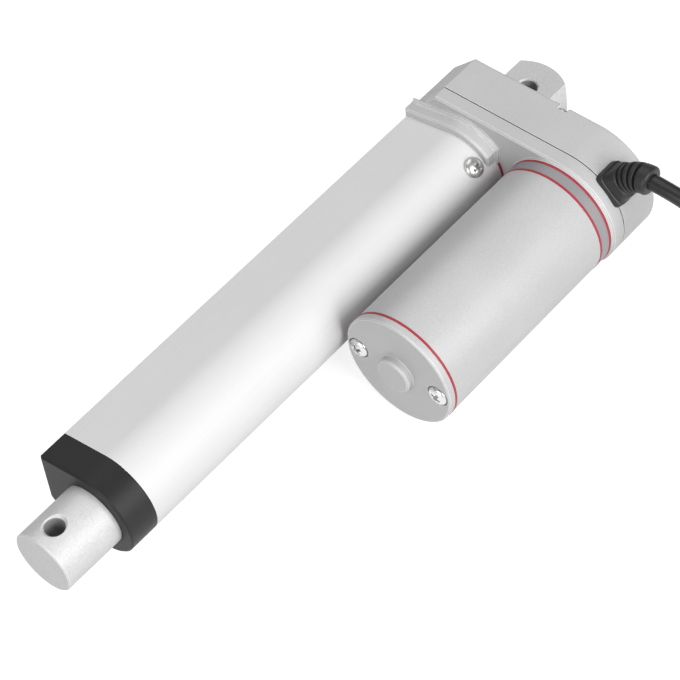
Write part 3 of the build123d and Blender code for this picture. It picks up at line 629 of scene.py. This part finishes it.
# Rear end plate of the motor
# The same paint in a darker shade. It shows as a narrow ring between the two rear gaskets.
# Its edges get a faint painted highlight.
shade = surface(
    "bell_paint", (0.29, 0.28, 0.29), 0.5, metallic=0.2, grain=1900.0, depth=0.00004, edge_highlight=0.2
)
dress(shade, "motor_bell")

# Motor gaskets
# Rings of the same red rubber: one under the end cap, two at the end plate.
dress(red, "motor_front_seal", "motor_rear_seal", "motor_mount_seal")

# Motor screws
# Two long cross-recess screws, let into the end cap, clamp the motor to the housing.
motor_seat = 0.1034
place_screws(
    "motor_cross_screws",
    "motor_tie_screws",
    cross_screw(0.0032, 0.0020, 0.0700),
    [((motor_seat, 0.0206, 0.0), (1, 0, 0), 30), ((motor_seat, 0.0494, 0.0), (1, 0, 0), 62)],
)

# Motor's inside
# Two ferrite magnets round an armature of steel plates wound with enamelled copper, on a shaft
# with a brass pinion and two bushes; carbon brushes press on a copper commutator.
dress(steel, "motor_shaft")
dress(brass, "motor_pinion", "motor_front_bush", "motor_rear_bush")
plates = surface(
    "lamination_steel", (0.30, 0.30, 0.31), 0.45, metallic=0.85, grain=5000.0, stretch=(3, 0.2, 0.2)
)
dress(plates, "armature_core")
copper = surface("copper", (0.70, 0.30, 0.15), 0.3, metallic=1.0)
dress(copper, "armature_windings", "commutator", "cord_cores")
dress(surface("ferrite", (0.07, 0.07, 0.075), 0.6, grain=1800.0, spread=0.12), "motor_magnets")
carbon = surface("carbon", (0.03, 0.03, 0.032), 0.5, metallic=0.2, grain=2600.0, spread=0.15)
dress(carbon, "carbon_brushes")
inner_plastic = surface("inner_plastic", (0.04, 0.04, 0.042), 0.5)
dress(inner_plastic, "brush_holder")

# End switches
# Two small black switches soldered on a green board along the tube's flat side, and their two
# red wires.
dress(inner_plastic, "end_switches")
dress(surface("board_green", (0.03, 0.18, 0.08), 0.4), "switch_strip")
dress(surface("wire_red", (0.55, 0.04, 0.04), 0.35), "switch_leads")

# Table
# White and level. Seen by the camera or in a reflection it is nearly its own light, so it stays
# white and still shows a faint shadow.
table_reach = 30.0
table_z = -0.0195
top = bmesh.new()
bmesh.ops.create_grid(top, x_segments=1, y_segments=1, size=table_reach)
bmesh.ops.translate(top, vec=(0.0, 0.0, table_z), verts=top.verts)
table = bpy.data.meshes.new("table")
top.to_mesh(table)
top.free()
floor = bpy.data.objects.new("table", table)
bpy.context.scene.collection.objects.link(floor)
white = bpy.data.materials.new("table_white")
white.use_nodes = True
nodes = white.node_tree.nodes
links = white.node_tree.links
plain = nodes["Principled BSDF"]
plain.inputs["Base Color"].default_value = (0.35, 0.35, 0.35, 1.0)
plain.inputs["Roughness"].default_value = 0.9
dim = nodes.new("ShaderNodeBsdfDiffuse")
dim.inputs["Color"].default_value = (0.42, 0.42, 0.42, 1.0)
glow = nodes.new("ShaderNodeEmission")
glow.inputs["Strength"].default_value = 0.80
lit = nodes.new("ShaderNodeAddShader")
links.new(dim.outputs[0], lit.inputs[0])
links.new(glow.outputs[0], lit.inputs[1])
path = nodes.new("ShaderNodeLightPath")
seen = nodes.new("ShaderNodeMath")
seen.operation = "MAXIMUM"
links.new(path.outputs["Is Camera Ray"], seen.inputs[0])
links.new(path.outputs["Is Glossy Ray"], seen.inputs[1])
passed = nodes.new("ShaderNodeMath")
passed.operation = "MAXIMUM"
links.new(seen.outputs[0], passed.inputs[0])
links.new(path.outputs["Is Transmission Ray"], passed.inputs[1])
choice = nodes.new("ShaderNodeMixShader")
links.new(passed.outputs[0], choice.inputs[0])
links.new(plain.outputs[0], choice.inputs[1])
links.new(lit.outputs[0], choice.inputs[2])
links.new(choice.outputs[0], nodes["Material Output"].inputs["Surface"])
table.materials.append(white)

# Light
# A pale room and three large soft lamps: the strongest stands low on the motor's side, the others
# above the tube's flat side and towards the rod's end.
world = bpy.data.worlds.new("room")
world.use_nodes = True
world.node_tree.nodes["Background"].inputs["Color"].default_value = (1.0, 1.0, 1.0, 1.0)
world.node_tree.nodes["Background"].inputs["Strength"].default_value = 0.27
bpy.context.scene.world = world
lamps = {
    "lamp_key": ((0.0, 0.80, 0.45), 0.60, 10.5),
    "lamp_top": ((-0.20, -0.45, 0.90), 1.00, 3.8),
    "lamp_front": ((0.90, 0.10, 0.40), 0.60, 4.6),
}
lit_middle = Vector((0.1, 0.01, 0.0))
for name, (direction, size, power) in lamps.items():
    lamp = bpy.data.lights.new(name, "AREA")
    lamp.size = size
    lamp.energy = power
    holder = bpy.data.objects.new(name, lamp)
    holder.location = lit_middle + Vector(direction).normalized()
    holder.rotation_euler = (-Vector(direction)).to_track_quat("-Z", "Y").to_euler()
    bpy.context.scene.collection.objects.link(holder)
